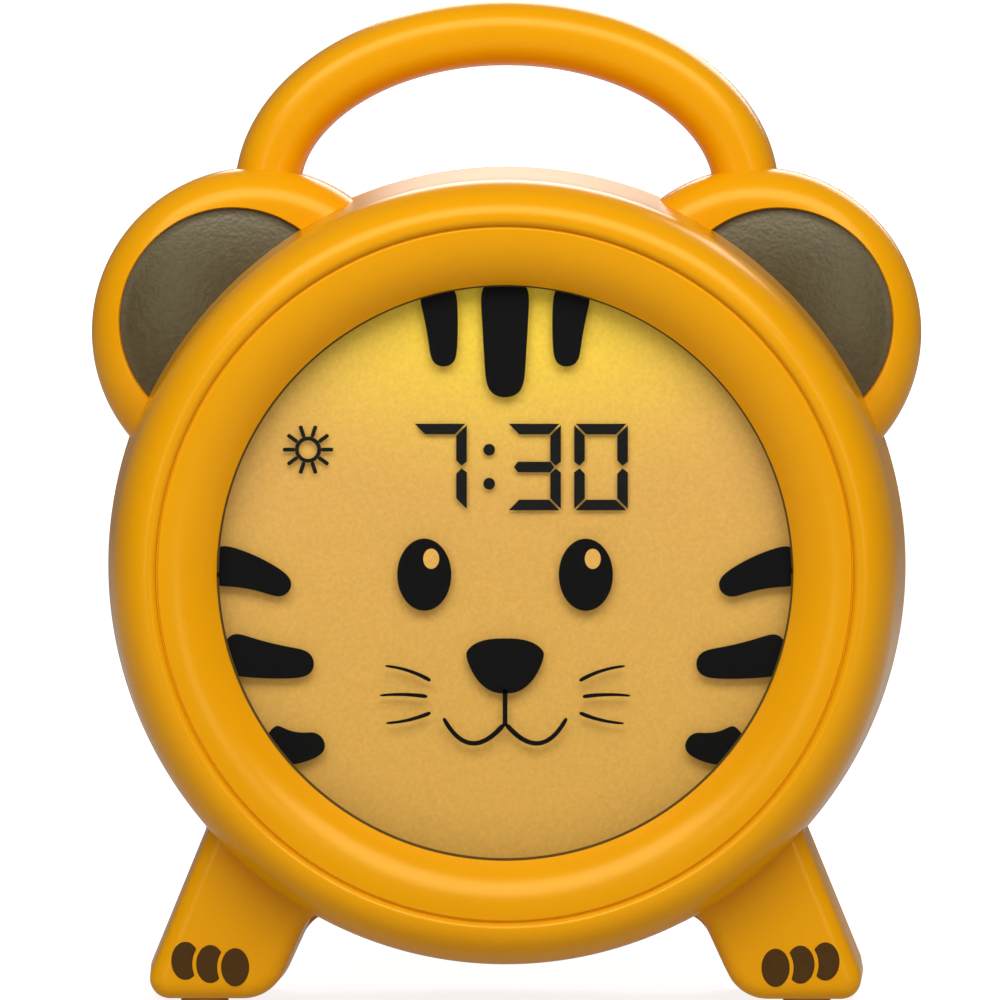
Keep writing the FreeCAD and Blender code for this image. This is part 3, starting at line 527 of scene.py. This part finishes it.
warm = add_node(tree, "ShaderNodeMix", {0: glow.outputs[0], 6: ground}, {7: linear("f2cd2e")},
                data_type="RGBA")
# painted shade: the colour darkens towards the rim, where the bezel's edge shades the film
from_axis = add_node(tree, "ShaderNodeVectorMath", {0: place}, {1: (0.0, -film_y * MM, -AXIS_Z * MM)},
                     operation="ADD")
off_axis = add_node(tree, "ShaderNodeVectorMath", {0: from_axis.outputs[0]}, operation="LENGTH")
shade = add_node(tree, "ShaderNodeMapRange", {"Value": off_axis.outputs["Value"]},
                 {"From Min": rim_start, "From Max": rim_end, "To Min": 1.0, "To Max": rim_shade})
shaded = add_node(tree, "ShaderNodeVectorMath", {0: warm.outputs[2], 1: shade.outputs[0]},
                  operation="MULTIPLY")
grit = add_node(tree, "ShaderNodeTexNoise", {"Vector": place},
                {"Scale": 1300.0, "Detail": 3.0, "Roughness": 0.7})
speck = add_node(tree, "ShaderNodeMapRange", {"Value": grit.outputs["Fac"]},
                 {"From Min": 0.3, "From Max": 0.7, "To Min": speck_dark, "To Max": speck_light})
grained = add_node(tree, "ShaderNodeVectorMath", {0: shaded.outputs[0], 1: speck.outputs[0]},
                   operation="MULTIPLY")
cover(tree, output, {"Base Color": grained.outputs[0], "Emission Color": grained.outputs[0]},
      {"Roughness": 0.65, "Emission Strength": 0.15})
dress("tint_film", film_with_painted_glow)

# Print on the back of the lens: a plain tiger face in black ink, of forehead and cheek
# stripes, eyes, nose, mouth and whiskers, screen printed in one pass.
ink_y = lens_y + 2.0
ink_thick = 0.04


def ink(name, outlines, y, material):
    """Flat shapes of ink: each closed outline of (x, z) becomes a thin closed block at depth y."""
    points, faces, start = [], [], 0
    for outline in outlines:
        count = len(outline)
        for depth in (y - ink_thick / 2, y + ink_thick / 2):
            points.append(np.insert(outline, 1, depth, axis=1))
        front = np.arange(start, start + count)
        faces.append(front.tolist())
        faces.append((front + count)[::-1].tolist())
        after = np.roll(front, -1)
        faces += np.stack([after, front, front + count, after + count], axis=-1).tolist()
        start += 2 * count
    mesh = bpy.data.meshes.new(name)
    mesh.from_pydata((np.concatenate(points) * MM).tolist(), [], faces)
    piece = finish_mesh(name, mesh, sharp=30)
    piece.data.materials.append(material)
    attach(piece, "housing")


def oval(x, z, width, height, power=2.0, count=64):
    """Superellipse about (x, z): |u / a|^p + |v / b|^p = 1."""
    turn = np.linspace(0, 2 * math.pi, count, endpoint=False)
    u = width / 2 * np.sign(np.cos(turn)) * np.abs(np.cos(turn)) ** (2 / power)
    v = height / 2 * np.sign(np.sin(turn)) * np.abs(np.sin(turn)) ** (2 / power)
    return np.stack([x + u, z + v], axis=-1)


def stroke(start, end, bow, broad, narrow, blunt=10, count=40):
    """A brush stroke from start to end that bows to one side by bow, its width going from broad
    to narrow, with round ends: half width = w(s) sqrt(1 - |2s - 1|^blunt)."""
    start, end = np.array(start, float), np.array(end, float)
    share = (1 - np.cos(np.linspace(0, math.pi, count))) / 2
    along = end - start
    across = np.array([-along[1], along[0]]) / np.linalg.norm(along)
    centre = start + along * share[:, None] + across * (4 * bow * share * (1 - share))[:, None]
    direction = np.gradient(centre, axis=0)
    normal = np.stack([-direction[:, 1], direction[:, 0]], axis=-1)
    normal /= np.linalg.norm(normal, axis=1, keepdims=True)
    half = (broad + (narrow - broad) * share) / 2 * np.sqrt(1 - np.abs(2 * share - 1) ** blunt)
    return np.concatenate([centre + normal * half[:, None], (centre - normal * half[:, None])[1:-1][::-1]])


def ring_halves(x, z, radius, width, count=40):
    """The two halves of a thin ring about (x, z), which lap each other a little."""
    turn = np.radians(np.linspace(0, 181, count))
    way = np.stack([np.cos(turn), np.sin(turn)], axis=-1)
    half = np.concatenate([way * (radius + width / 2), way[::-1] * (radius - width / 2)])
    return [np.array([x, z]) + half, np.array([x, z]) - half]


def mirror_x(outlines):
    """The outlines and their mirror images on the other side of the axis."""
    return outlines + [outline * np.array([-1, 1]) for outline in outlines]


def from_middle(outlines):
    """Outlines drawn about the drum's axis, moved up to it."""
    return [outline + np.array([0, AXIS_Z]) for outline in outlines]


def round_point(angle, radius):
    """The point at this angle, in degrees, and distance from the middle."""
    return radius * math.cos(math.radians(angle)), radius * math.sin(math.radians(angle))


print_edge = 55.4                        # the stripes start out of sight, behind the bezel
# each stroke goes from the first point to the second: its bow, broad end, narrow end, bluntness
stripes = [stroke(round_point(90, print_edge), (0.0, 33.0), 0.0, 9.6, 7.0, 8)]
stripes += mirror_x([stroke(round_point(76.5, print_edge), (11.6, 38.8), -0.4, 7.4, 4.6, 8),
                     stroke(round_point(1.5, print_edge), (40.6, -3.4), -1.0, 8.4, 4.4, 8),
                     stroke(round_point(-15.5, print_edge), (36.0, -17.2), 0.6, 8.6, 5.0, 8),
                     stroke(round_point(-35.0, print_edge), (34.2, -31.6), 1.4, 8.2, 4.2, 8)])
nose_z, nose_wide, nose_high = -17.6, 15.6, 10.4
nose = oval(0, nose_z, nose_wide, nose_high, 2.6)
taper, taper_start, taper_length = 0.42, 2.6, 7.8    # the nose narrows towards the mouth
nose[:, 0] *= 1 - taper * np.clip((nose_z + taper_start - nose[:, 1]) / taper_length, 0, 1)
mouth = [stroke((0, -22.0), (0, -29.0), 0.0, 0.9, 0.9, 30)]
mouth += mirror_x([stroke((0.2, -28.6), (11.6, -27.4), -4.2, 0.95, 0.8, 30)])
whiskers = mirror_x([stroke((14.0, -20.4), (22.6, -17.6), 0.5, 0.8, 0.45, 14),
                     stroke((14.6, -23.4), (23.6, -23.2), 0.3, 0.8, 0.45, 14),
                     stroke((14.0, -26.4), (22.4, -28.4), -0.4, 0.8, 0.45, 14)])
eye_x, glint_shift = 15.2, 1.3           # both glints sit towards the right, where the light is
eyes = mirror_x([oval(eye_x, -0.4, 10.2, 13.6)])
glints = [oval(x + glint_shift, 2.6, 3.0, 3.8) for x in (-eye_x, eye_x)]

black_ink, tree, output, place = new_material("screen_ink_black")
# screen ink lies flat and matt, a hair uneven where the mesh of the screen left it
cover(tree, output, {"Base Color": two_tones(tree, noise(tree, place, 1500.0, 1.0), "050505", "0b0b0b")},
      {"Roughness": 0.6, "Specular IOR Level": 0.1})
ink("print_stripes", from_middle(stripes), ink_y, black_ink)
ink("print_features", from_middle(eyes + [nose] + mouth + whiskers), ink_y, black_ink)
ink("print_glints", from_middle(glints), ink_y - ink_thick, film_with_painted_glow)
painted_shadow_ink, tree, output, place = new_material("painted_shadow_olive_ink")
# painted shadow: a thin line of the same matt ink in olive brown round the window, where the bezel's edge
# shades the film; it shifts a little along its way
cover(tree, output, {"Base Color": two_tones(tree, noise(tree, place, 500.0), "54420f", "665115")},
      {"Roughness": 0.6, "Specular IOR Level": 0.3})
# a ring of painted shadow, just inside the bezel's edge
shadow_ring_radius, shadow_ring_width = 54.1, 0.5
ink("painted_shadow_ring", ring_halves(0, AXIS_Z, shadow_ring_radius, shadow_ring_width, 120), ink_y - 2 * ink_thick,
    painted_shadow_ink)

# Liquid crystal picture: the time in three figures and a colon, and a sun for daytime, half way
# through the panel's glass. Of each figure's seven bars only those switched on are made.
lcd_y = lens_y + 2.9
seven_left, three_left, nought_left = -17.3, 0.4, 13.0
colon_x, colon_dot, colon_high, colon_low = -3.0, 2.2, 105.3, 98.9
figure_width, figure_height, bar_thick, bar_gap = 10.1, 16.3, 2.0, 0.25
figure_low = 93.9
lit_bars = {"7": "abc", "3": "abcdg", "0": "abcdef"}


def figure(left, shown):
    """Seven bars with mitred ends: a top, b and c right, d bottom, e and f left, g middle."""
    x0, x1 = left, left + figure_width
    z0, z1, zm = figure_low, figure_low + figure_height, figure_low + figure_height / 2
    t, g, h = bar_thick, bar_gap, bar_thick / 2
    bars = {
        "a": [(x0 + g, z1), (x1 - g, z1), (x1 - t - g, z1 - t), (x0 + t + g, z1 - t)],
        "d": [(x0 + g, z0), (x0 + t + g, z0 + t), (x1 - t - g, z0 + t), (x1 - g, z0)],
        "b": [(x1, z1 - g), (x1 - t, z1 - t - g), (x1 - t, zm + h + g), (x1 - h, zm + g), (x1, zm + h)],
        "c": [(x1, z0 + g), (x1, zm - h), (x1 - h, zm - g), (x1 - t, zm - h - g), (x1 - t, z0 + t + g)],
        "f": [(x0, z1 - g), (x0, zm + h), (x0 + h, zm + g), (x0 + t, zm + h + g), (x0 + t, z1 - t - g)],
        "e": [(x0, z0 + g), (x0 + t, z0 + t + g), (x0 + t, zm - h - g), (x0 + h, zm - g), (x0, zm - h)],
        "g": [(x0 + h + g, zm), (x0 + t, zm + h), (x1 - t, zm + h), (x1 - h - g, zm), (x1 - t, zm - h),
              (x0 + t, zm - h)]}
    return [np.array(bars[letter]) for letter in lit_bars[shown]]


sun = np.array([-37.1, 105.3])
sun_ring, sun_start, sun_reach, sun_line = 2.1, 2.45, 4.75, 0.74
rays = [stroke(sun + round_point(angle, sun_start), sun + round_point(angle, sun_reach), 0,
               sun_line, sun_line, 16, 12) for angle in range(0, 360, 36)]
sun_halves = ring_halves(*sun, sun_ring, sun_line)
dots = [oval(colon_x, z, colon_dot, colon_dot, count=32) for z in (colon_high, colon_low)]
liquid_crystal, tree, output, place = new_material("liquid_crystal_dark")
# a switched crystal is a soft black with a trace of green, its tone drifting a little over it
cover(tree, output, {"Base Color": two_tones(tree, noise(tree, place, 300.0), "0c0d0b", "131411")},
      {"Roughness": 0.5, "Specular IOR Level": 0.15})
time_shown = figure(seven_left, "7") + dots + figure(three_left, "3") + figure(nought_left, "0")
ink("lcd_time", time_shown, lcd_y, liquid_crystal)
ink("lcd_sun", rays + sun_halves, lcd_y, liquid_crystal)

# Ear pads: soft grained leathercloth over a thin pad, laid in the pocket of each ear and
# tucked behind the ring, where the drum covers its inner side.
pad_swell, pad_edge = 2.6, 0.5
pad_low = 1.1                            # the pad's rim lies this deep in the pocket
pad_cover = 0.5                          # the pad runs on this far inside the ring's rim
leathercloth, tree, output, place = new_material("leathercloth_olive_brown")
# vinyl leathercloth: pebbles about 0.7 mm across, a soft sheen, and a slight shade between them
pebble = add_node(tree, "ShaderNodeTexVoronoi", {"Vector": place}, {"Scale": 1500.0, "Randomness": 1.0},
                  feature="SMOOTH_F1")
crease = noise(tree, place, 700.0, 4.0)
mixed = add_node(tree, "ShaderNodeMath", {0: pebble.outputs["Distance"], 1: crease}, operation="ADD")
cover(tree, output, {"Base Color": two_tones(tree, crease, "3d3010", "483a14", (0.3, 0.7)),
                     "Normal": relief(tree, mixed.outputs[0], 0.16, 0.0002)},
      {"Roughness": 0.33, "IOR": 1.65, "Specular Tint": (1.0, 0.92, 0.7, 1.0)})
share = np.linspace(0, 1, 40)
dome = np.concatenate([
    np.stack([(pad_radius - pad_edge) * share,
              ear_front + pad_low - pad_swell * (1 - share ** 2)], axis=-1)[:-1],
    line((pad_radius, ear_front + pad_low), (pad_radius, ear_front + pad_sink), 2),
    line((pad_radius, ear_front + pad_sink), (0, ear_front + pad_sink), 4)[1:]])
for side, name in ((1, "right"), (-1, "left")):
    pad = turned("ear_pad_" + name + "_leather", dome, (side * pad_x, pad_z), 160, closed=False)
    cut_away(pad, [drum_core(rim_radius - pad_cover)])
    housing_piece(pad, "ear_pad_" + name, leathercloth)

# Toes: three ovals of brown rubber let into the front of each foot. The inner one is whole, and
# each of the outer two is tucked under its neighbour as a crescent.
toe_width, toe_height, toe_gap = 5.3, 7.2, 0.75
toe_x, toe_z, toe_pitch, toe_rise = 51.0, 7.4, 4.7, 0.6
toe_front, toe_back, toe_edge = leg_front_y - 0.2, leg_front_y + 1.0, 0.15


def cushion_set(name, outlines, y_front, y_back, edge):
    """Several small pads in one piece: each outline becomes a block whose front edge is eased."""
    points, faces, start = [], [], 0
    for outline in outlines:
        count = len(outline)
        normal = inward(outline)
        rings = [(0.0, y_back), (0.0, y_front + edge), (edge, y_front)]
        points += [np.insert(outline + normal * inset, 1, depth, axis=1) for inset, depth in rings]
        row = np.arange(start, start + count)
        after = np.roll(row, -1)
        for level in range(len(rings) - 1):
            step = level * count
            faces += np.stack([row + step, after + step, after + step + count, row + step + count],
                              axis=-1).tolist()
        faces += [row.tolist(), (row + (len(rings) - 1) * count).tolist()]
        start += len(rings) * count
    mesh = bpy.data.meshes.new(name)
    mesh.from_pydata((np.concatenate(points) * MM).tolist(), [], faces)
    return finish_mesh(name, mesh, sharp=30)


def toe_middle(index):
    """The middle of a toe, counted from the inner one."""
    return np.array([toe_x + index * toe_pitch, toe_z + index * toe_rise])


def crescent(index):
    """Outline of a toe: an oval less its larger neighbour and a gap, its tips rounded off."""
    own = oval(*toe_middle(index), toe_width, toe_height, count=120)
    if index:
        reach = np.array([toe_width / 2 + toe_gap, toe_height / 2 + toe_gap])
        other = toe_middle(index - 1)
        outside = (((own - other) / reach) ** 2).sum(axis=1) > 1
        first = int(np.argmax(outside & ~np.roll(outside, 1)))
        kept = np.roll(own, -first, axis=0)[:int(outside.sum())]
        start, end = [math.atan2(*((point - other) / reach)[::-1]) for point in (kept[-1], kept[0])]
        back = np.linspace(start, end, 24)[1:-1]
        own = np.concatenate([kept, other + reach * np.stack([np.cos(back), np.sin(back)], axis=-1)])
    for _ in range(3):
        after = np.roll(own, -1, axis=0)
        own = np.stack([0.75 * own + 0.25 * after, 0.25 * own + 0.75 * after], axis=1).reshape(-1, 2)
    return own


brown_rubber, tree, output, place = new_material("moulded_rubber_brown")
# moulded rubber: dark and dull, with a bloom that shifts its brown a little, and fine pores
bloom = noise(tree, place, 600.0, 3.0)
cover(tree, output, {"Base Color": two_tones(tree, bloom, "452d08", "50350f"),
                     "Normal": relief(tree, bloom, 0.2, 0.0001)},
      {"Roughness": 0.55, "Specular IOR Level": 0.12})
toes = cushion_set("toes", mirror_x([crescent(index) for index in range(3)]), toe_front, toe_back,
                   toe_edge)
housing_piece(toes, "toe_inlays", brown_rubber)

# Foot pads: discs of soft orange rubber let into the soles, two under each foot, which hardly
# show under them. The solids' own shape is all that they need.
soft_rubber, tree, output, place = new_material("silicone_rubber_orange")
# silicone rubber: a cloudy orange and a low, even sheen
cover(tree, output, {"Base Color": two_tones(tree, noise(tree, place, 400.0), "b87a12", "c48618")},
      {"Roughness": 0.5, "IOR": 1.41})
dress("foot_pads", soft_rubber)

# Rear half and battery door: the same ABS as the front, from a finely etched mould. Both keep
# the solids' own shape, with its grille, button holes, slots and screw wells.
etched_abs, tree, output, place = new_material("orange_abs_etched_mould")
# etched ABS: the same orange, duller, because its fine texture spreads each reflection
cover(tree, output,
      {"Base Color": two_tones(tree, noise(tree, place, 28.0), "e89708", "ec9d0c", (0.3, 0.7)),
       "Normal": relief(tree, noise(tree, place, 3000.0), 0.08, 0.0001)},
      {"Roughness": 0.4, "IOR": 1.54})
for node in ("rear_shell", "battery_door"):
    dress(node, etched_abs)

# Captive screw of the battery door: a zinc-plated pan head with a rounded rim and a cross
# recess, in the tab at the top of the door. Its shank goes into the tray.
screw_x, screw_z = 0.0, AXIS_Z - 5.4
head_radius, head_round, shank_radius, shank_tip = 2.8, 0.5, 1.5, 0.3
back_y = 31.8
head_low, shank_low = back_y - 1.3, back_y - 5.5
cross_reach, cross_half, cross_depth, cross_edge = 1.7, 0.32, 0.8, 0.1
cross_past = 0.5                         # the cutters stand out of the head by this much


def plain_finish(name, low, high, roughness, metallic=0.0):
    """A finish whose colour drifts between two close tones, with a trace of relief."""
    material, tree, output, place = new_material(name)
    value = noise(tree, place, 800.0, 3.0)
    cover(tree, output, {"Base Color": two_tones(tree, value, low, high),
                         "Normal": relief(tree, value, 0.05, 0.0001)},
          {"Roughness": roughness, "Metallic": metallic})
    return material


screw_profile = np.concatenate([
    np.array([(0, shank_low + shank_tip), (shank_radius - shank_tip, shank_low),
              (shank_radius, shank_low + shank_tip), (shank_radius, head_low), (head_radius, head_low)]),
    arc((head_radius - head_round, back_y - head_round), head_round, 0, 90, 6),
    np.array([(0, back_y)])])
screw = turned("door_screw_head", screw_profile, (screw_x, screw_z), 64, closed=False)
slots = []
for half_x, half_z in ((cross_reach, cross_half), (cross_half, cross_reach)):
    bit = np.array([(-half_x, -half_z), (half_x, -half_z), (half_x, half_z), (-half_x, half_z)])
    slots.append(cushion("screw_bit", bit + np.array([screw_x, screw_z]), back_y - cross_depth,
                         back_y + cross_past, cross_edge))
cut_away(screw, slots)
zinc = plain_finish("zinc_plated_screw", "a9abad", "bcbec0", 0.3, 1.0)
screw.data.materials.append(zinc)
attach(screw, "battery_door")
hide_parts("door_screw")

# Boards, lamps, switches, cells, speaker, socket, buttons and slide keep the solids' own shapes,
# each in the finish of what it is made of: two tones, roughness, and 1.0 where it is metal.
finishes = {
    "milky_etched_acrylic": (("light_guide",), ("ece6d6", "f4efe2", 0.5)),
    "white_abs_matt": (("light_reflector", "battery_tray"), ("e2e0d8", "ebe9e2", 0.55)),
    "solder_mask_green": (("lamp_board", "main_board", "key_board_left", "key_board_right", "switch_board",
                           "power_board"), ("1f4a30", "2b5c3c", 0.4)),
    "phosphor_yellow": (("lamp_leds",), ("efe08a", "f7edac", 0.4)),
    "black_resin_matt": (("board_parts", "key_switches", "slide_switch"), ("161618", "1f1f21", 0.5)),
    "brown_abs_satin": (("button_left_top", "button_left_middle", "button_left_bottom", "button_right_top",
                         "button_right_middle", "button_right_bottom", "alarm_slide"),
                        ("4f3a1a", "5b4420", 0.45)),
    "zinc_plated_steel": (("shell_screws", "speaker_basket", "power_socket", "battery_contacts"),
                          ("b2b4b6", "c3c5c7", 0.32, 1.0)),
    "pressed_paper_black": (("speaker_cone",), ("1f1d1b", "2b2927", 0.85)),
    "printed_sleeve_silver": (("battery_cells",), ("b9bcc0", "c9ccd0", 0.35)),
}
for name, (nodes, values) in finishes.items():
    finish = plain_finish(name, *values)
    for node in nodes:
        dress(node, finish)
